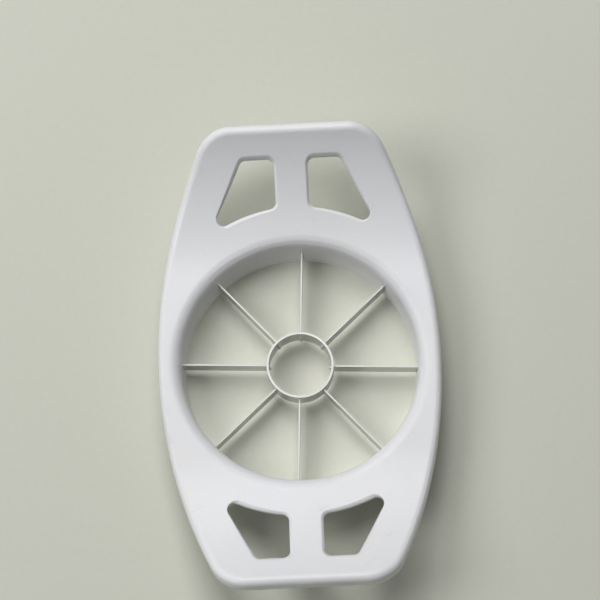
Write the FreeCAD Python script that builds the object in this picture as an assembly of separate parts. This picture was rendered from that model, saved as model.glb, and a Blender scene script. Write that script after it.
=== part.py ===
# Apple slicer and corer: a hand tool that cuts an apple into eight wedges and a core.
#
# One white moulding carries everything. Its plate is a saddle: flat round the well and swept up
# at both ends into handles. A deep round well stands under the plate. Eight steel blades run from
# a steel core ring to slots in the well's wall, and a ring under the wall keeps them in.
#
# Frame of the model: millimetres, +Y along the handles, +X across, +Z up. The origin is the
# middle of the face that the tool stands on. Nothing on the tool moves.

import FreeCAD, Part
import math
import os

os.makedirs("parts", exist_ok=True)

V = FreeCAD.Vector
UP = V(0, 0, 1)
ORIGIN = V(0, 0, 0)

# ---------------------------------------------------------------- driving sizes, millimetres

# plate, seen from above
side_radius = 193.0         # each long side is one arc
side_flat = 1.4             # flat strip between the well's mouth and the rounded edge, at the middle
end_corner_radius = 15.0

# plate, seen from the side
rim_height = 21.0           # top of the plate above the foot, at the well
flat_half_length = 36.0     # the plate is flat this far each way from the middle
sweep_radius = 76.5         # then each handle rises on one arc
plate_wall = 3.0
edge_depth = 8.0            # the turned-down edge, measured from the top of the plate
edge_wall = 2.6
edge_rounding = 2.5
band_depths = (0.5, 1.8)    # roundings are parted at these depths, so that no band turns far

# finger gaps: two in each handle, mirrored about the web between them
web_width = 13.3
shoulder_width = 14.8       # plate between the well's bore and the gaps
gap_length = 17.8           # along the web
gap_end_width = 12.8        # along the end bar
gap_splay = 27.8            # degrees between the slanted side and the web
end_bar_width = 12.0        # from the gaps to the end of the handle
gap_corner_rounding = 2.7
gap_lip_chamfer = 0.9

# well
ring_height = 2.8           # retaining ring, from the foot up to the well's wall
well_foot_radius = 45.8     # bore where the wall meets the retaining ring
well_draft = 3.5            # degrees
well_wall = 3.2
well_mouth_rounding = 5.0

# blades and core ring
blade_count = 8
wheel_turn = -3.2           # degrees, how the blade wheel is clocked in the frame
blade_thickness = 0.6
blade_height = 10.0
blade_bevel_height = 1.6
blade_edge_thickness = 0.12
blade_seat = 0.9            # how far a blade's end goes into the wall, at the top of its slot
tongue_height = 6.0
tongue_reach = 0.9          # how far the tongue stands into the core ring
core_outer_radius = 13.2
core_wall = 0.8
core_height = 12.0
core_drop = 0.3             # core ring below the blades' lower edge
core_bevel_height = 1.4

# ribs on the underside
rib_wall = 2.0
rib_depth = 7.0             # from the top of the plate
shoulder_rib_angle = 38.0   # degrees from +X, from the well to the turned-down edge

# retaining ring
foot_chamfer = 0.6
lug_width = 1.6             # across the well's wall
lug_length = 4.0            # along it
lug_height = 2.4

# clearances
slot_clearance = 0.1        # each side of a blade, in the wall and in the core ring
lug_clearance = 0.1
plunge = 60.0               # how far cutting tools run past what they cut
sweep_margin = 10.0         # the same, under the turned-down edge
sweep_lift = 2.0            # how far cutting slabs start above the plate, and end past the handles
TOUCH = 0.01

# ---------------------------------------------------------------- sizes that follow

half_web = web_width / 2
draft = math.tan(math.radians(well_draft))
blade_base = ring_height
blade_top = blade_base + blade_height
tongue_base = blade_base + (blade_height - tongue_height) / 2
core_base = blade_base - core_drop
core_inner_radius = core_outer_radius - core_wall
blade_step = 360.0 / blade_count


def well_radius(height):
    """Bore of the well's conical wall at a height above the foot."""
    return well_foot_radius + draft * (height - ring_height)


mouth_run = well_mouth_rounding * math.tan(math.radians(90 - well_draft) / 2)
half_width = well_radius(rim_height) + mouth_run + side_flat + edge_rounding
gap_inner_radius = well_radius(rim_height) + shoulder_width
gap_end_station = gap_inner_radius + gap_length
half_length = gap_end_station + end_bar_width
blade_end_radius = well_radius(blade_top) + blade_seat
blade_shoulder_radius = core_outer_radius + slot_clearance
tongue_end_radius = core_inner_radius - tongue_reach
slot_width = blade_thickness + 2 * slot_clearance
lug_station = well_foot_radius + well_wall / 2


# ---------------------------------------------------------------- small helpers

def arc(start, middle, end):
    return Part.Arc(start, middle, end).toShape()


def line(start, end):
    return Part.LineSegment(start, end).toShape()


def face_inside(edges):
    return Part.Face(Part.Wire(Part.sortEdges(edges)[0]))


def ring_section(points):
    """Solid of revolution about the well's axis from (radius, height) corners."""
    corners = [V(radius, 0, height) for radius, height in points]
    section = Part.Face(Part.makePolygon(corners + corners[:1]))
    return section.revolve(ORIGIN, UP, 360)


def block(low, high):
    size = high - low
    return Part.makeBox(size.x, size.y, size.z, low)


def turned(shape, angle):
    copy = shape.copy()
    copy.rotate(ORIGIN, UP, angle)
    return copy


def wheel_angles():
    return [wheel_turn + index * blade_step for index in range(blade_count)]


def both_ways(shape):
    """The shape and its mirror images across the YZ and XZ planes: four in all."""
    right = [shape, shape.mirror(ORIGIN, V(0, 1, 0))]
    left = [piece.mirror(ORIGIN, V(1, 0, 0)) for piece in right]
    return right + left


# ---------------------------------------------------------------- plate

def plate_outline(inset):
    """Flat face of the plate's outline, drawn in by an inset: two side arcs, two straight ends."""
    radius = side_radius - inset
    corner = end_corner_radius - inset
    end = half_length - inset
    side_centre = half_width - side_radius
    corner_y = end - corner
    corner_x = side_centre + math.sqrt((radius - corner) ** 2 - corner_y ** 2)
    corner_centre = V(corner_x, corner_y, 0)
    tangent_angle = math.atan2(corner_y, corner_x - side_centre)
    mid_angle = (tangent_angle + math.pi / 2) / 2
    side_end = V(side_centre + radius * math.cos(tangent_angle), radius * math.sin(tangent_angle), 0)
    corner_mid = corner_centre + V(corner * math.cos(mid_angle), corner * math.sin(mid_angle), 0)
    end_start = V(corner_x, end, 0)

    def at(point, x_sign, y_sign):
        return V(point.x * x_sign, point.y * y_sign, 0)

    edges = []
    for x_sign in (1, -1):
        side_middle = V(x_sign * (side_centre + radius), 0, 0)
        edges.append(arc(at(side_end, x_sign, -1), side_middle, at(side_end, x_sign, 1)))
        for y_sign in (1, -1):
            start = at(side_end, x_sign, y_sign)
            middle = at(corner_mid, x_sign, y_sign)
            edges.append(arc(start, middle, at(end_start, x_sign, y_sign)))
    for y_sign in (1, -1):
        edges.append(line(at(end_start, 1, y_sign), at(end_start, -1, y_sign)))
    return face_inside(edges)


def sweep_edges(depth, x):
    """Saddle line at a depth under the plate's top, from end to end, as edges in a YZ plane."""
    radius = sweep_radius + depth
    floor = rim_height - depth
    centre_height = rim_height + sweep_radius
    run = half_length + sweep_lift - flat_half_length
    full = math.asin(run / radius)

    def point(angle, side):
        y = side * (flat_half_length + radius * math.sin(angle))
        return V(x, y, centre_height - radius * math.cos(angle))

    left = arc(point(full, -1), point(full / 2, -1), point(0, -1))
    flat = line(V(x, -flat_half_length, floor), V(x, flat_half_length, floor))
    right = arc(point(0, 1), point(full / 2, 1), point(full, 1))
    return [left, flat, right], point(full, -1), point(full, 1)


def saddle(top_depth, bottom_depth):
    """Slab between two depths under the plate's top, much wider than the plate."""
    far_side = 2 * half_width
    upper, upper_left, upper_right = sweep_edges(top_depth, -far_side)
    lower, lower_left, lower_right = sweep_edges(bottom_depth, -far_side)
    ends = [line(upper_left, lower_left), line(upper_right, lower_right)]
    section = face_inside(upper + lower + ends)
    return section.extrude(V(2 * far_side, 0, 0))


def column(face):
    """A flat outline run from under the foot to well above the handles."""
    base = face.copy()
    base.translate(V(0, 0, -plunge))
    return base.extrude(V(0, 0, 3 * plunge))


def depth_under_top(point):
    """How far a point lies under the plate's top, measured square to it."""
    beyond = max(abs(point.y) - flat_half_length, 0)
    return math.hypot(beyond, rim_height + sweep_radius - point.z) - sweep_radius


def rim_edges(solid, outline, depth):
    """Edges of a solid that run round an outline at one depth under the plate's top."""
    found = []
    for edge in solid.Edges:
        middle = edge.valueAt((edge.FirstParameter + edge.LastParameter) / 2)
        plan_point = Part.Vertex(middle.x, middle.y, 0)
        at_depth = abs(depth_under_top(middle) - depth) < TOUCH
        if at_depth and outline.distToShape(plan_point)[0] < TOUCH:
            found.append(edge)
    return found


def plate_skin():
    """Outside of the plate and its turned-down edge, rounded, still solid."""
    outline = plate_outline(0)
    skin = saddle(0, edge_depth).common(column(outline))
    return skin.makeFillet(edge_rounding, rim_edges(skin, outline.OuterWire, 0))


def in_bands(body):
    """The same body, with its roundings parted into bands at a few depths under the top."""
    levels = (-sweep_lift,) + band_depths
    layers = [body.common(saddle(upper, lower)) for upper, lower in zip(levels, levels[1:])]
    rest = body.cut(saddle(levels[0], levels[-1]))
    return rest.fuse(layers)


# ---------------------------------------------------------------- finger gaps

def gap_outline():
    """One finger gap's outline: web side, end side, slanted side, arc side."""
    splay = math.radians(gap_splay)
    slant = V(math.sin(splay), -math.cos(splay), 0)
    web_end = V(half_web, gap_end_station, 0)
    slant_end = V(half_web + gap_end_width, gap_end_station, 0)
    along = slant_end.dot(slant)
    short_of_arc = slant_end.dot(slant_end) - gap_inner_radius ** 2
    slant_arc = slant_end + slant * (-along - math.sqrt(along ** 2 - short_of_arc))
    web_arc = V(half_web, math.sqrt(gap_inner_radius ** 2 - half_web ** 2), 0)
    arc_middle = (slant_arc + web_arc).normalize() * gap_inner_radius
    edges = [line(web_end, slant_end), line(slant_end, slant_arc)]
    edges.append(arc(slant_arc, arc_middle, web_arc))
    edges.append(line(web_arc, web_end))
    return face_inside(edges)


def gap_column():
    """One finger gap as an upright column with rounded corners."""
    sharp = column(gap_outline())
    corners = [edge for edge in sharp.Edges if abs(edge.tangentAt(edge.FirstParameter).z) > 0.99]
    return sharp.makeFillet(gap_corner_rounding, corners)


# ---------------------------------------------------------------- frame

def well_core(growth, low, high):
    """Solid cone of the well's bore between two heights, grown by a wall."""
    low_radius = well_radius(low) + growth
    high_radius = well_radius(high) + growth
    return ring_section([(0, low), (low_radius, low), (high_radius, high), (0, high)])


def rib_blocks():
    """Ribs as upright walls, longer than the hollow that they cross."""
    half_rib = rib_wall / 2
    reach = V(half_length, half_rib, plunge)
    web_rib = block(V(-half_rib, -half_length, -plunge), V(half_rib, half_length, plunge))
    cross = block(V(-reach.x, -reach.y, -reach.z), reach)
    return [web_rib] + [turned(cross, side * shoulder_rib_angle) for side in (1, -1)]


def hollow():
    """Space under the plate, inside its turned-down edge, round the well and the ribs."""
    space = saddle(plate_wall, edge_depth + sweep_margin).common(column(plate_outline(edge_wall)))
    kept = [well_core(well_wall, -plunge, plunge)]
    rib_zone = saddle(0, rib_depth)
    kept += [rib.common(rib_zone) for rib in rib_blocks()]
    return space.cut(kept)


def blade_slots():
    """Slots in the well's wall, open downwards, one for each blade's outer end."""
    inner = core_outer_radius
    outer = blade_end_radius + slot_clearance
    slot = block(V(inner, -slot_width / 2, -plunge), V(outer, slot_width / 2, blade_top))
    return [turned(slot, angle) for angle in wheel_angles()]


def lugs(grow):
    """Lugs that stand on the retaining ring, in every second space between the blades."""
    half = V(lug_width / 2 + grow, lug_length / 2 + grow, 0)
    middle = V(lug_station, 0, ring_height)
    lug = block(middle - half, middle + half + UP * (lug_height + grow))
    return [turned(lug, angle + blade_step / 2) for angle in wheel_angles()[::2]]


def make_frame():
    wall = well_core(well_wall, ring_height, rim_height - plate_wall / 2)
    body = plate_skin().fuse(wall)
    body = body.cut(well_core(0, -plunge, plunge))
    body = in_bands(body.makeFillet(well_mouth_rounding, mouth_edges(body)))
    gap = gap_column()
    body = body.cut(both_ways(gap))
    lips = []
    for outline in both_ways(gap.slice(UP, 0)[0]):
        lips += rim_edges(body, outline, 0)
    body = body.makeChamfer(gap_lip_chamfer, lips)
    body = body.cut(hollow())
    return body.cut(blade_slots() + lugs(lug_clearance))


def mouth_edges(body):
    """Edges where the well's bore meets the top of the plate."""
    found = []
    for edge in body.Edges:
        middle = edge.valueAt((edge.FirstParameter + edge.LastParameter) / 2)
        on_bore = abs(math.hypot(middle.x, middle.y) - well_radius(middle.z)) < TOUCH
        if on_bore and abs(depth_under_top(middle)) < TOUCH:
            found.append(edge)
    return found


# ---------------------------------------------------------------- retaining ring

def make_retaining_ring():
    """Ring that closes the blade slots from below; its lower face is the foot of the tool."""
    outer = well_foot_radius + well_wall
    section = [
        (well_radius(0), 0),
        (outer - foot_chamfer, 0),
        (outer, foot_chamfer),
        (outer, ring_height),
        (well_foot_radius, ring_height),
    ]
    return ring_section(section).fuse(lugs(0))


# ---------------------------------------------------------------- core ring and blades

def make_core_ring():
    """Steel tube, ground to an edge at the bottom, with a window for each blade's tongue."""
    top = core_base + core_height
    section = [
        (core_inner_radius, core_base),
        (core_inner_radius + blade_edge_thickness, core_base),
        (core_outer_radius, core_base + core_bevel_height),
        (core_outer_radius, top),
        (core_inner_radius, top),
    ]
    low = V(tongue_end_radius, -slot_width / 2, tongue_base - slot_clearance)
    high = V(blade_shoulder_radius, slot_width / 2, tongue_base + tongue_height + slot_clearance)
    window = block(low, high)
    return ring_section(section).cut([turned(window, angle) for angle in wheel_angles()])


def make_blade():
    """Blade along +X: ground to an edge below, with a tongue for the core ring."""
    half = blade_thickness / 2
    half_edge = blade_edge_thickness / 2
    shoulder = blade_base + blade_bevel_height
    corners = [
        V(tongue_end_radius, -half_edge, blade_base),
        V(tongue_end_radius, half_edge, blade_base),
        V(tongue_end_radius, half, shoulder),
        V(tongue_end_radius, half, blade_top),
        V(tongue_end_radius, -half, blade_top),
        V(tongue_end_radius, -half, shoulder),
    ]
    section = Part.Face(Part.makePolygon(corners + corners[:1]))
    strip = section.extrude(V(blade_end_radius - tongue_end_radius, 0, 0))
    below = block(V(0, -half, 0), V(blade_shoulder_radius, half, tongue_base))
    above = block(V(0, -half, tongue_base + tongue_height), V(blade_shoulder_radius, half, plunge))
    return strip.cut([below, above])


# ---------------------------------------------------------------- output

def write(name, shape):
    solids = shape.Solids
    piece = solids[0] if len(solids) == 1 else Part.makeCompound(solids)
    print(f"{name}: {len(solids)} solid, valid {piece.isValid()}, volume {piece.Volume / 1000:.2f} cm3")
    piece.exportStep(f"parts/{name}.step")


write("frame", make_frame())
write("retaining_ring", make_retaining_ring())
write("core_ring", make_core_ring())
blade = make_blade()
for number, angle in enumerate(wheel_angles(), start=1):
    write(f"blade_{number}", turned(blade, angle))
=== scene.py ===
# %% [markdown]
# # An apple slicer and corer
# The object is a white moulded frame with two raised handles. Under its middle hangs a deep
# round well, and eight thin steel blades cross the foot of the well from a steel core ring.
# The solids come from the CAD model, so this lesson is about what is left: the finish of the
# plastic and the steel, the small traces that moulding leaves, the light and the camera.

import math

import bmesh
import bpy
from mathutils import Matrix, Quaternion, Vector


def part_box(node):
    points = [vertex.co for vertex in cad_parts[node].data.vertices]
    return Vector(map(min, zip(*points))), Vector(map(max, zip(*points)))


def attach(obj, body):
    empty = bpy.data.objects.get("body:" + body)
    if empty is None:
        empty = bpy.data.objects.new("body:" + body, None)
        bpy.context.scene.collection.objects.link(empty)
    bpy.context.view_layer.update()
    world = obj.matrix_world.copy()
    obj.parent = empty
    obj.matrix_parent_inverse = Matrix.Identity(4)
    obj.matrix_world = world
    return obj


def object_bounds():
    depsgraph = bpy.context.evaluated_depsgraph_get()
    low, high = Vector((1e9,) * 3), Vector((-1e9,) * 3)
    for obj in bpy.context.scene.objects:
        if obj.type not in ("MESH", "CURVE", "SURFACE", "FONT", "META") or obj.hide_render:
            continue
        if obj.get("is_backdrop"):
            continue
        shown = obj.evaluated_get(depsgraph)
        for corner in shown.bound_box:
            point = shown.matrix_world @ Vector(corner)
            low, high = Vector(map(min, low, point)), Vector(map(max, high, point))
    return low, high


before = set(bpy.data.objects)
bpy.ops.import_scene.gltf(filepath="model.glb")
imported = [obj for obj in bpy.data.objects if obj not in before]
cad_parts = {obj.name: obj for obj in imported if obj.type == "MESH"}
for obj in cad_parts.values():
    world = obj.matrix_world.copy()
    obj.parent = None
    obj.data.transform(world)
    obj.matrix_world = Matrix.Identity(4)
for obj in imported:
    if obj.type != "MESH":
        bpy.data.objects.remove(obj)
cad_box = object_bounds()
print("nodes:", sorted(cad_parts))

# %% [markdown]
# The CAD model is fixed, so sizes are read from its nodes and not typed again. The retaining
# ring stands on the floor, the core ring sits in the middle, and the frame is the widest piece.
# One millimetre gets a name, because Blender counts in metres and this tool is made in
# millimetres.

# %% Measure the pieces
MM = 0.001
frame_low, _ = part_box("frame")
_, foot_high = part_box("retaining_ring")
core_low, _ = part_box("core_ring")
blade_low, blade_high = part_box("blade_1")
SEAM_RADIUS = foot_high.x
SEAM_HEIGHT = frame_low.z
CORE_FOOT = core_low.z
BLADE_FOOT = blade_low.z
for name in ("frame", "retaining_ring", "core_ring", "blade_1"):
    low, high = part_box(name)
    print(name, "is", [round(value / MM, 1) for value in high - low], "mm")

# %% [markdown]
# A camera is easiest to describe the way a photographer would: what it looks at, from which
# side and how high, how far away, and how far it is tipped over. A long lens keeps the lines
# of a small object almost parallel.

# %% Camera
LOOK_AT = Vector((1.2, 24.6, 21.0)) * MM
VIEW_DISTANCE = 1.415
VIEW_ELEVATION = math.radians(76.5)
VIEW_AZIMUTH = math.radians(3.7)
VIEW_ROLL = math.radians(-6.3)
SENSOR = 36.0
LENS = 6.0 * SENSOR


def direction_to(azimuth, elevation):
    """Unit vector from the object towards a viewer; azimuth 0 stands on the -Y side."""
    flat = math.cos(elevation)
    return Vector((flat * math.sin(azimuth), -flat * math.cos(azimuth), math.sin(elevation)))


def aim(thing, place, target, roll=0.0):
    """Puts a lamp or camera at a place and turns it to face the target."""
    turn = (target - place).to_track_quat("-Z", "Y")
    thing.location = place
    thing.rotation_mode = "QUATERNION"
    thing.rotation_quaternion = turn @ Quaternion((0, 0, 1), roll)


camera_data = bpy.data.cameras.new("view")
camera_data.sensor_width = SENSOR
camera_data.lens = LENS
camera = bpy.data.objects.new("view", camera_data)
bpy.context.scene.collection.objects.link(camera)
aim(camera, LOOK_AT + direction_to(VIEW_AZIMUTH, VIEW_ELEVATION) * VIEW_DISTANCE, LOOK_AT, VIEW_ROLL)
bpy.context.scene.camera = camera
print("camera at", [round(value, 3) for value in camera.location])

# %% [markdown]
# A finish is a small sum: so much roughness here, a little less there. Blender writes such a
# sum as a web of nodes, which is hard to read in a script. So one class wraps a node's output
# socket, and the usual signs, + - * / and **, each add the Math node that they stand for. A
# Math node turns a colour grey, so colours and vectors have methods of their own.

# %% Wire
class Wire:
    """One socket of a material's node tree, used in expressions like a number."""

    def __init__(self, tree, socket=None):
        self.tree = tree
        self.socket = socket

    def node(self, kind, settings=None, values=None, out=0):
        """Adds any node: its settings first, then what feeds its sockets."""
        made = self.tree.nodes.new(kind)
        for name, setting in (settings or {}).items():
            setattr(made, name, setting)
        for name, value in (values or {}).items():
            if isinstance(value, Wire):
                self.tree.links.new(value.socket, made.inputs[name])
            else:
                made.inputs[name].default_value = value
        return Wire(self.tree, made.outputs[out] if made.outputs else None)

    def math(self, operation, first, second=0.0):
        return self.node("ShaderNodeMath", {"operation": operation}, {0: first, 1: second})

    def vector(self, operation, first, second, out=0):
        return self.node("ShaderNodeVectorMath", {"operation": operation}, {0: first, 1: second}, out)

    def step(self, low, high):
        """0 below one value, 1 above another, and a soft curve between them."""
        settings = {"interpolation_type": "SMOOTHSTEP"}
        return self.node("ShaderNodeMapRange", settings, {"Value": self, "From Min": low, "From Max": high})

    def between(self, first, second):
        """A colour: the first where this mask is 0, the second where it is 1."""
        settings = {"data_type": "RGBA"}
        return self.node("ShaderNodeMix", settings, {0: self, 6: first, 7: second}, out=2)

    def __add__(self, other):
        return self.math("ADD", self, other)

    def __radd__(self, other):
        return self.math("ADD", other, self)

    def __sub__(self, other):
        return self.math("SUBTRACT", self, other)

    def __rsub__(self, other):
        return self.math("SUBTRACT", other, self)

    def __mul__(self, other):
        return self.math("MULTIPLY", self, other)

    def __rmul__(self, other):
        return self.math("MULTIPLY", other, self)

    def __truediv__(self, other):
        return self.math("DIVIDE", self, other)

    def __rtruediv__(self, other):
        return self.math("DIVIDE", other, self)

    def __pow__(self, other):
        return self.math("POWER", self, other)


# %% [markdown]
# Every material below starts in the same way. Its pattern is laid out in the object's own
# place, in metres, so that a grain of half a millimetre is that size on every piece and from
# every side. Three numbers, along, across and up, are easier to stretch one by one than a
# vector is, so a small function splits the place and another puts three numbers together.

# %% Start of a material
def new_material(name):
    """An empty material, and the wire that starts its tree."""
    material = bpy.data.materials.new(name)
    material.use_nodes = True
    tree = material.node_tree
    tree.nodes.clear()
    return material, Wire(tree)


def place_of(start):
    """The place of a point on the object: the vector, and its three numbers."""
    place = start.node("ShaderNodeTexCoord", out=3)
    parts = [start.node("ShaderNodeSeparateXYZ", None, {0: place}, out=index) for index in range(3)]
    return place, parts


def joined(start, along, across, up):
    """Three numbers as one place again."""
    return start.node("ShaderNodeCombineXYZ", None, {0: along, 1: across, 2: up})


# %% [markdown]
# Two things keep a surface from looking painted on: a colour that drifts, and relief. Noise
# gives both, because it is a cloud of numbers from 0 to 1 that can be stretched, cut and mixed.
# A Bump node turns such a number into relief, and its depth is a true one, as on a drawing.

# %% Noise and relief
def noise(start, place, scale, detail):
    """Soft random cloud from 0 to 1: how many lumps in a metre, and how many finer sets on them."""
    values = {"Vector": place, "Scale": scale, "Detail": detail, "Roughness": 0.5}
    return start.node("ShaderNodeTexNoise", None, values)


def bumped(start, height, depth, under=None):
    """A normal with relief of a depth in metres; it can lie on top of another normal."""
    values = {"Strength": 1.0, "Distance": depth, "Height": height}
    if under is not None:
        values["Normal"] = under
    return start.node("ShaderNodeBump", None, values)


def finish_with(start, values):
    """Ends a tree with the shader that most surfaces use."""
    shader = start.node("ShaderNodeBsdfPrincipled", None, values)
    start.node("ShaderNodeOutputMaterial", None, {"Surface": shader})


# %% [markdown]
# No edge on a moulded piece is as sharp as a drawing's. The cutter that made the mould had a
# small radius, and hands and trays rub what stands out. A Bevel node gives the normal that a
# slightly rounded edge would have. Where that normal turns away from the true one there is an
# edge, so the same node also tells where the plastic was rubbed smooth. How far it has turned
# is measured as 1 minus the cosine of the angle, which is 0 on open surface.

# %% Soft edges
BEVEL_SAMPLES = 6
EDGE_TURN = (0.01, 0.16)


def soft_normal(start, radius):
    """The normal that the surface would have with its edges rounded to a radius."""
    return start.node("ShaderNodeBevel", {"samples": BEVEL_SAMPLES}, {"Radius": radius})


def edge_mask(start, soft):
    """1 on an edge, 0 on open surface."""
    true_normal = start.node("ShaderNodeNewGeometry", out=1)
    likeness = start.vector("DOT_PRODUCT", soft, true_normal, out=1)
    return (1.0 - likeness).step(*EDGE_TURN)


# %% [markdown]
# Even a new tool has hairline scuffs from trays and boxes, and they don't all run one way.
# Drawing each of them would be slow. Noise that is stretched along one way and cut near its top
# leaves only thin lines, and a second, wider noise keeps these lines to a few patches.

# %% Scuffs
SCUFF_STRETCH = 40
SCUFF_STRETCH_UP = 4
PATCH_SCALE = 55.0
SCUFF_SETS = [(0.5, 900.0), (2.2, 700.0)]


def scuffs(start, parts, turn, scale):
    """Hairline scratches that all run one way, turned by an angle from the X axis."""
    x, y, z = parts
    along = x * math.cos(turn) + y * math.sin(turn)
    across = y * math.cos(turn) - x * math.sin(turn)
    hair_place = joined(start, along / SCUFF_STRETCH, across, z / SCUFF_STRETCH_UP)
    hair = noise(start, hair_place, scale, 1.0)
    patch = noise(start, joined(start, x, y, z), PATCH_SCALE, 1.0)
    return hair.step(0.66, 0.72) * patch.step(0.52, 0.66)


print("scuffs run at", [round(math.degrees(turn)) for turn, _ in SCUFF_SETS], "degrees")

# %% [markdown]
# The frame is glossy white plastic from a mould whose cavity was polished and then lightly
# blasted. Close up it shows four things, and each is one term of a sum here:
# - a mottle a few centimetres wide, where the melt cooled a little faster or slower;
# - faint streaks along the handles, the way that the melt ran;
# - the blasted grain, half a millimetre across and a few hundredths deep;
# - the scuffs, a touch greyer and rougher, which hardly show until they catch the light.

# %% White moulding
RUBBED_RADIUS = 0.7 * MM
MOTTLE_SCALE = 32.0
STREAK_SCALE = 24.0
STREAK_SQUEEZE = 9
GRAIN_SCALE = 1900.0
SCUFF_COLOUR = (0.60, 0.60, 0.60, 1)


def white_plastic(name, cool, warm, roughness, grain_depth):
    """Moulded plastic, from how cool to how warm a white, how rough, and how deep its grain is."""
    material, start = new_material(name)
    place, parts = place_of(start)
    x, y, z = parts
    mottle = noise(start, place, MOTTLE_SCALE, 3.0)
    streaks = noise(start, joined(start, x * STREAK_SQUEEZE, y, z * STREAK_SQUEEZE), STREAK_SCALE, 2.0)
    grain = noise(start, place, GRAIN_SCALE, 2.0)
    one_way, other_way = (scuffs(start, parts, turn, scale) for turn, scale in SCUFF_SETS)
    scratches = one_way + other_way
    soft = soft_normal(start, RUBBED_RADIUS)
    rubbed = edge_mask(start, soft)
    shade = mottle.step(0.3, 0.7).between(cool, warm)
    shade = (scratches * 0.16).between(shade, SCUFF_COLOUR)
    finish_with(start, {
        "Base Color": shade,
        "Roughness": roughness + mottle * 0.08 + streaks * 0.06 - rubbed * 0.10 + scratches * 0.18,
        "IOR": 1.49,
        "Normal": bumped(start, grain - scratches * 0.5, grain_depth, soft),
    })
    return material


moulding = white_plastic(
    "white_moulding", cool=(0.845, 0.855, 0.885, 1), warm=(0.865, 0.868, 0.88, 1),
    roughness=0.27, grain_depth=0.075 * MM)
print("nodes in the frame's finish:", len(moulding.node_tree.nodes))

# %% [markdown]
# The retaining ring under the well comes from another mould and another batch of plastic. It is
# a touch creamier and less polished, and that is how one finds the seam on the real tool.

# %% Ring plastic
ring_plastic = white_plastic(
    "white_ring", cool=(0.83, 0.835, 0.845, 1), warm=(0.85, 0.85, 0.85, 1),
    roughness=0.36, grain_depth=0.09 * MM)
print("nodes in the ring's finish:", len(ring_plastic.node_tree.nodes))

# %% [markdown]
# The blades are cut from rolled strip. Rolling and belt polishing leave lines that run along
# the strip, so on this tool they run out from the middle like spokes. One material serves all
# eight blades when its place is given in polar form: how far out, round to which blade, and how
# far to the side of that blade's own middle plane. Each blade takes its lines from a stretch of
# strip further on, so that no two are alike.

# %% Place on the strip
BLADE_COUNT = 8
BLADE_STEP = math.tau / BLADE_COUNT
blade_middle = (blade_low + blade_high) / 2
WHEEL_TURN = math.atan2(blade_middle.y, blade_middle.x)
NEXT_ON_STRIP = 0.37


def place_on_strip(start, parts):
    """How far along the strip, and how far to the side of the blade's middle plane."""
    x, y, _ = parts
    outward = (x * x + y * y) ** 0.5
    angle = start.math("ARCTAN2", y, x)
    spoke = (angle - WHEEL_TURN) / BLADE_STEP
    number = start.math("ROUND", spoke)
    across = (spoke - number) * outward * BLADE_STEP
    return outward + number * NEXT_ON_STRIP, across


print("the blade wheel is turned by", round(math.degrees(WHEEL_TURN), 1), "degrees")

# %% [markdown]
# Two surfaces of a blade differ from its polished sides. The ground edge at the bottom has
# lines that run square to the edge. The top edge is as the shears left it, torn and dull, so
# it is rougher, and its colour is painted darker as well: a painted shade that keeps a blade's
# top from flashing like a mirror under the lamps. The height above the blade's foot tells
# where the ground edge is, and the true normal tells which faces look up.

# %% Blade steel
GRIND_HEIGHT = 1.6 * MM
GRIND_LINE = (BLADE_FOOT + GRIND_HEIGHT * 0.94, BLADE_FOOT + GRIND_HEIGHT * 1.02)
ROLLED_SCALE = 2600.0
ROLLED_STRETCH = 50
GROUND_SCALE = 3800.0
GROUND_STRETCH = 30
STRIP_CLOUD_SCALE = 120.0
DARK_STRIP = (0.55, 0.55, 0.54, 1)
BRIGHT_STRIP = (0.74, 0.74, 0.725, 1)
# painted shade: the darker colour of the cut faces that look up, so that they don't flash under the lamps
CUT_STEEL_PAINTED_SHADE = (0.55, 0.55, 0.53, 1)


def facing_up(start):
    """1 where the surface lies flat and faces up, as the cut edges of the strip and tube do; they get
    painted shade.
    """
    normal = start.node("ShaderNodeNewGeometry", out=1)
    return start.node("ShaderNodeSeparateXYZ", None, {0: normal}, out=2).step(0.7, 0.95)


def blade_steel(name):
    """Belt-polished strip with a ground lower edge and a dull, cut upper one with painted shade."""
    material, start = new_material(name)
    _, parts = place_of(start)
    up = parts[2]
    along, across = place_on_strip(start, parts)
    rolled = noise(start, joined(start, along / ROLLED_STRETCH, across, up), ROLLED_SCALE, 3.0)
    ground = noise(start, joined(start, along, across, up / GROUND_STRETCH), GROUND_SCALE, 2.0)
    cloud = noise(start, joined(start, along, across, up), STRIP_CLOUD_SCALE, 2.0)
    edge = 1.0 - up.step(*GRIND_LINE)
    lines = rolled + edge * (ground - rolled)
    cut = facing_up(start)
    skin = (cloud * 0.4 + lines * 0.6).step(0.3, 0.7).between(DARK_STRIP, BRIGHT_STRIP)
    finish_with(start, {
        # the faces that look up are painted darker here, a painted shade against the lamps' flash; their
        # extra roughness is the real dull cut
        "Base Color": cut.between(skin, CUT_STEEL_PAINTED_SHADE),
        "Metallic": 1.0,
        "Roughness": 0.18 + cloud * 0.12 + lines * 0.18 + edge * 0.06 + cut * 0.38,
        "Normal": bumped(start, lines, 0.012 * MM),
    })
    return material


strip_steel = blade_steel("blade_steel")
print("the ground edge fades out at heights of", [round(z / MM, 1) for z in GRIND_LINE], "mm")

# %% [markdown]
# The core ring is a slice of tube that was polished while it spun, so its lines run round it.
# An angle would jump where the circle closes, and the lines would break there. Noise that is
# stretched thirty times along x and along y, but not upwards, gives the same lines without a
# joint. The lower edge is turned to a cone, which is smoother, and the upper face is dull and
# rougher, with a painted shade on it as on the blades' tops.

# %% Core ring steel
TURNED_LINE = (CORE_FOOT + 1.3 * MM, CORE_FOOT + 1.5 * MM)
SPUN_SCALE = 2200.0
SPUN_STRETCH = 30
TUBE_CLOUD_SCALE = 160.0
DARK_TUBE = (0.57, 0.57, 0.56, 1)
BRIGHT_TUBE = (0.75, 0.75, 0.735, 1)


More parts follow.
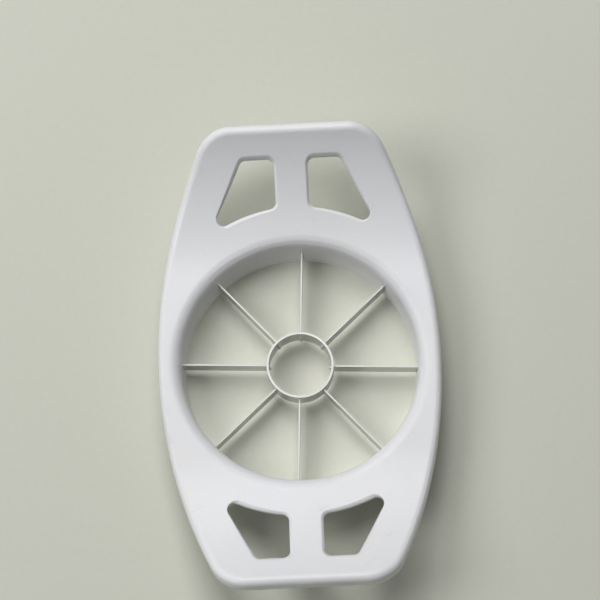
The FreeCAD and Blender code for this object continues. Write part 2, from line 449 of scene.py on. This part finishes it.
def tube_steel(name):
    """Tube polished on a lathe, with a turned lower edge and a dull upper face with painted shade."""
    material, start = new_material(name)
    place, parts = place_of(start)
    x, y, up = parts
    spun = noise(start, joined(start, x / SPUN_STRETCH, y / SPUN_STRETCH, up), SPUN_SCALE, 3.0)
    cloud = noise(start, place, TUBE_CLOUD_SCALE, 2.0)
    turned = 1.0 - up.step(*TURNED_LINE)
    cut = facing_up(start)
    skin = (cloud * 0.4 + spun * 0.6).step(0.3, 0.7).between(DARK_TUBE, BRIGHT_TUBE)
    finish_with(start, {
        # the upper face is painted darker here, a painted shade against the lamps' flash; its extra
        # roughness is the real dull cut
        "Base Color": cut.between(skin, CUT_STEEL_PAINTED_SHADE),
        "Metallic": 1.0,
        "Roughness": 0.20 + cloud * 0.10 + spun * 0.18 - turned * 0.06 + cut * 0.34,
        "Normal": bumped(start, spun, 0.014 * MM),
    })
    return material


ring_steel = tube_steel("tube_steel")
print("the turned edge fades out at heights of", [round(z / MM, 1) for z in TURNED_LINE], "mm")

# %% [markdown]
# A CAD node keeps its shape and only changes clothes: its mesh's material slots are emptied and
# the new material goes in. Three nodes have a finish of their own, and the rest are blades.

# %% Dress the nodes
finishes = {"frame": moulding, "retaining_ring": ring_plastic, "core_ring": ring_steel}
for name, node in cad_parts.items():
    node.data.materials.clear()
    node.data.materials.append(finishes.get(name, strip_steel))
print("dressed", len(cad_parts), "nodes")

# %% [markdown]
# Moulding and joining leave small traces that someone who makes such tools looks for. Round
# ejector pins push the frame out of the mould and leave shallow discs under the plate. The
# plastic comes in at a gate, where a snapped stub is left. And the retaining ring is welded on
# with ultrasound, which squeezes a hair of melt out of the seam. The discs and stubs sit on the
# curved underside of the plate, so a ray from below finds the place and the slope for each.

# %% Find the underside
RAY_START = -0.1


def under_plate(x, y):
    """The place and the normal of the plate's underside, met by a ray from below."""
    hit, place, normal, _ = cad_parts["frame"].ray_cast(Vector((x, y, RAY_START)), Vector((0, 0, 1)))
    assert hit, "nothing of the frame is above this place"
    return place, normal


# %% [markdown]
# Each of these traces is a piece that the CAD model doesn't have, and each needs the same few
# things: smooth faces, a finish and the body that it moves with. One function gives them all.
# The discs and stubs are round, so a second function spins a profile into a shape that stands
# on the plate's slope.

# %% Make a piece
def piece_from(mesh_maker, name, material):
    """Turns mesh code into a piece of the object that rides on its one body."""
    mesh = bpy.data.meshes.new(name)
    shape = bmesh.new()
    mesh_maker(shape)
    bmesh.ops.recalc_face_normals(shape, faces=shape.faces)
    shape.to_mesh(mesh)
    shape.free()
    for face in mesh.polygons:
        face.use_smooth = True
    mesh.materials.append(material)
    piece = bpy.data.objects.new(name, mesh)
    bpy.context.scene.collection.objects.link(piece)
    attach(piece, "root")
    return piece


def revolved(shape, profile, place, normal, sides):
    """Turns a profile of (radius, height) about a normal; it starts and ends on the axis."""
    turn = normal.to_track_quat("Z", "Y")
    rings = []
    for radius, height in profile:
        if radius == 0:
            rings.append([shape.verts.new(place + turn @ Vector((0, 0, height)))])
            continue
        angles = [math.tau * index / sides for index in range(sides)]
        points = [Vector((radius * math.cos(angle), radius * math.sin(angle), height)) for angle in angles]
        rings.append([shape.verts.new(place + turn @ point) for point in points])
    for lower, upper in zip(rings, rings[1:]):
        for index in range(sides):
            after = (index + 1) % sides
            corners = [lower[index % len(lower)], lower[after % len(lower)]]
            corners += [upper[after % len(upper)], upper[index % len(upper)]]
            shape.faces.new(dict.fromkeys(corners))


# %% [markdown]
# An ejector mark is a disc that stands a few hundredths of a millimetre proud, with a softened
# rim. A gate stub is shorter than it is wide, and its broken face is a little hollow. Both
# profiles begin a little inside the plastic, so that the curve of the plate leaves no gap.

# %% Ejector marks and gate stubs
MARK_SINK = 0.3 * MM
MARK_SIDES = 28
PIN_RADIUS = 2.0 * MM
PIN_STEP = 0.06 * MM
PIN_PLACES = [(36.0, 46.0), (22.0, 84.5), (46.8, 26.5)]
QUARTERS = [(1, 1), (-1, 1), (-1, -1), (1, -1)]
GATE_RADIUS = 1.1 * MM
GATE_NECK = GATE_RADIUS * 0.85
GATE_HEIGHT = 0.5 * MM
GATE_PLACE = (4.2, 56.5)


def pin_profile():
    """A low disc, as pairs of radius and height."""
    side = [(0, -MARK_SINK), (PIN_RADIUS, -MARK_SINK), (PIN_RADIUS, PIN_STEP * 0.6)]
    return side + [(PIN_RADIUS * 0.96, PIN_STEP), (0, PIN_STEP)]


def gate_profile():
    """A stub that narrows to its broken face."""
    side = [(0, -MARK_SINK), (GATE_RADIUS, -MARK_SINK), (GATE_RADIUS, 0), (GATE_NECK, GATE_HEIGHT * 0.7)]
    return side + [(GATE_NECK * 0.6, GATE_HEIGHT), (0, GATE_HEIGHT * 0.8)]


def mark(name, x, y, profile):
    """One trace of the mould under the plate, at a place given in millimetres."""
    place, normal = under_plate(x * MM, y * MM)

    def spun_profile(shape):
        revolved(shape, profile, place, normal, MARK_SIDES)

    return piece_from(spun_profile, name, moulding)


marks = []
for row, (x, y) in enumerate(PIN_PLACES):
    for quarter, (x_sign, y_sign) in enumerate(QUARTERS):
        number = row * len(QUARTERS) + quarter + 1
        marks.append(mark(f"ejector_mark_{number}", x * x_sign, y * y_sign, pin_profile()))
for name, side in (("gate_stub_back", 1), ("gate_stub_front", -1)):
    marks.append(mark(name, GATE_PLACE[0] * side, GATE_PLACE[1] * side, gate_profile()))
print("marks under the plate:", len(marks))

# %% [markdown]
# The weld's flash is a bead that is nowhere the same: fat where the melt ran, thin where it did
# not. It is a thin tube bent into a ring along the seam. Three waves of different length, added
# up, make a thickness that seems to be random and still closes on itself after one turn.

# %% Weld flash
FLASH_RADIUS = 0.10 * MM
FLASH_CHANGE = 0.35
FLASH_REACH = 0.8
FLASH_WAVES = [(7, 1.0, 1.0), (17, 0.7, 2.3), (41, 0.5, 0.0)]
FLASH_STEPS = 360
FLASH_SIDES = 6


def flash_thickness(angle):
    """Each wave has its count round the ring, its height and its shift."""
    waves = sum(height * math.sin(count * angle + shift) for count, height, shift in FLASH_WAVES)
    return FLASH_RADIUS * (1.0 + FLASH_CHANGE * waves)


def flash(shape):
    """A tube along the seam; it stands out from the wall less than it is high."""
    rings = []
    for index in range(FLASH_STEPS):
        angle = math.tau * index / FLASH_STEPS
        thickness = flash_thickness(angle)
        ring = []
        for side in range(FLASH_SIDES):
            turn = math.tau * side / FLASH_SIDES
            radius = SEAM_RADIUS + thickness * FLASH_REACH * math.cos(turn)
            height = SEAM_HEIGHT + thickness * math.sin(turn)
            ring.append(shape.verts.new((radius * math.cos(angle), radius * math.sin(angle), height)))
        rings.append(ring)
    for index, ring in enumerate(rings):
        ahead = rings[(index + 1) % FLASH_STEPS]
        for side in range(FLASH_SIDES):
            after = (side + 1) % FLASH_SIDES
            shape.faces.new((ring[side], ring[after], ahead[after], ahead[side]))


weld_flash = piece_from(flash, "weld_flash", ring_plastic)
print("weld flash:", len(weld_flash.data.vertices), "points")

# %% [markdown]
# The floor is a plain pale sheet. It is far larger than the tool, so that no edge of it comes
# into any view, and it keeps the tool's shadow, which shows that the handles stand in the air.
# It lies a hair below the foot, because two faces in the very same place would fight over which
# one is in front.

# %% Floor sheet
FLOOR_REACH = 3.0
FLOOR_HEIGHT = -0.05 * MM
floor_mesh = bpy.data.meshes.new("floor")
corners = [(-1, -1), (1, -1), (1, 1), (-1, 1)]
points = [(x * FLOOR_REACH, y * FLOOR_REACH, FLOOR_HEIGHT) for x, y in corners]
floor_mesh.from_pydata(points, [], [(0, 1, 2, 3)])
floor = bpy.data.objects.new("floor", floor_mesh)
bpy.context.scene.collection.objects.link(floor)
print("the floor reaches", FLOOR_REACH, "m each way and lies at", round(FLOOR_HEIGHT / MM, 2), "mm")

# %% [markdown]
# A studio would do three more things for the sheet, and each is one mix of shaders:
# - far off the lamps no longer reach the sheet, so what is seen of it there turns into the pale
#   sky, as a backdrop that sweeps up behind the tool would;
# - from below it is clear, like a glass table, which shows the ribs under the handles;
# - no light finds its way between the foot and the sheet, so to rays as short as that gap the
#   sheet glows a little, as glass would, and the foot isn't black from below.
# The first mix asks for the kind of ray. A camera and a reflection see the pale sky, while the
# rays that light the tool still meet the paper, so the haze gives no light of its own.

# %% Floor surface
PAPER_SHADE = (0.66, 0.67, 0.583, 1)
PAPER_LIGHT = (0.70, 0.71, 0.618, 1)
PAPER_SCALE = 420.0
HAZE_REACH = (0.12, 0.9)
SKY_COLOUR = (1, 1, 0.985, 1)
SKY_AS_SEEN = 0.75
GLOW_REACH = 0.3 * MM
GLOW_COLOUR = (1, 1, 0.96, 1)
GLOW_STRENGTH = 0.4


def seen_directly(start):
    """1 for rays that come from the camera, a reflection or a glass, 0 for the rays that light."""
    camera_ray, glossy, transmitted = (
        start.node("ShaderNodeLightPath", out=name)
        for name in ("Is Camera Ray", "Is Glossy Ray", "Is Transmission Ray"))
    return start.math("MAXIMUM", start.math("MAXIMUM", camera_ray, glossy), transmitted)


def mixed(start, factor, first, second):
    """A surface: the first shader where the factor is 0, the second where it is 1."""
    return start.node("ShaderNodeMixShader", None, {0: factor, 1: first, 2: second})


floor_material, start = new_material("floor")
floor_place, _ = place_of(start)
fibre = noise(start, floor_place, PAPER_SCALE, 3.0)
paper = start.node("ShaderNodeBsdfPrincipled", None, {
    "Base Color": fibre.between(PAPER_SHADE, PAPER_LIGHT),
    "Roughness": 0.7 + fibre * 0.1,
})
haze = start.node("ShaderNodeEmission", None, {"Color": SKY_COLOUR, "Strength": SKY_AS_SEEN})
glow = start.node("ShaderNodeEmission", None, {"Color": GLOW_COLOUR, "Strength": GLOW_STRENGTH})
clear = start.node("ShaderNodeBsdfTransparent")
far_off = start.vector("LENGTH", floor_place, (0, 0, 0), out=1).step(*HAZE_REACH)
in_the_gap = 1.0 - start.node("ShaderNodeLightPath", out="Ray Length").step(GLOW_REACH * 0.5, GLOW_REACH)
its_back = start.node("ShaderNodeNewGeometry", out="Backfacing")
surface = mixed(start, far_off * seen_directly(start), paper, haze)
surface = mixed(start, in_the_gap, surface, glow)
surface = mixed(start, its_back, surface, clear)
start.node("ShaderNodeOutputMaterial", None, {"Surface": surface})
floor_mesh.materials.append(floor_material)
floor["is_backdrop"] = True
print("nodes in the floor's surface:", len(floor_material.node_tree.nodes))

# %% [markdown]
# Three soft lamps and a weak sky light the tool. One stands on the left and models the well:
# the wall beside it falls into shade and the wall across from it is bright. One hangs almost
# overhead, a little to the far side, and lies as a sheen on the flat of the plate. The third is
# low behind the tool: the far handle leans away from it and is grey, the near one faces it and
# is white. The sky has two strengths: as light it is weak, and where the camera or a reflection
# looks straight at it, it is as pale as the floor.

# %% Light
LAMP_DISTANCE = 1.6
LAMP_SIZE = 0.9


def area_lamp(name, azimuth, elevation, power):
    """A round soft lamp; azimuth 0 stands on the far side of the tool, 90 to its right."""
    data = bpy.data.lights.new(name, "AREA")
    data.shape = "DISK"
    data.size = LAMP_SIZE
    data.energy = power
    lamp = bpy.data.objects.new(name, data)
    bpy.context.scene.collection.objects.link(lamp)
    towards = direction_to(math.pi - math.radians(azimuth), math.radians(elevation))
    aim(lamp, LOOK_AT + towards * LAMP_DISTANCE, LOOK_AT)
    print(name, "stands at", [round(value, 2) for value in lamp.location])


area_lamp("side", azimuth=270.0, elevation=50.0, power=9.0)
area_lamp("top", azimuth=0.0, elevation=70.0, power=8.0)
area_lamp("back", azimuth=345.0, elevation=45.0, power=7.1)

# %% [markdown]
# The two strengths of the sky come from a Light Path node, which knows what kind of ray is
# asking.

# %% Sky
SKY_AS_LIGHT = 0.05
world = bpy.data.worlds.new("studio")
bpy.context.scene.world = world
world.use_nodes = True
world.node_tree.nodes.clear()
sky = Wire(world.node_tree)
strength = SKY_AS_LIGHT + seen_directly(sky) * (SKY_AS_SEEN - SKY_AS_LIGHT)
background = sky.node("ShaderNodeBackground", None, {"Color": SKY_COLOUR, "Strength": strength})
sky.node("ShaderNodeOutputWorld", None, {"Surface": background})
bpy.context.scene.view_settings.view_transform = "Standard"
print("the sky gives", SKY_AS_LIGHT, "as light and shows as", SKY_AS_SEEN)

# %% [markdown]
# Last come the two boxes: the CAD model's, and that of everything that is shown. They should
# be the same, because a finish adds nothing to a tool's size.

# %% Finish
boxes = {"cad": cad_box, "visual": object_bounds()}
for name, (low, high) in boxes.items():
    print(name, "box is", [round(value / MM, 1) for value in high - low], "mm")
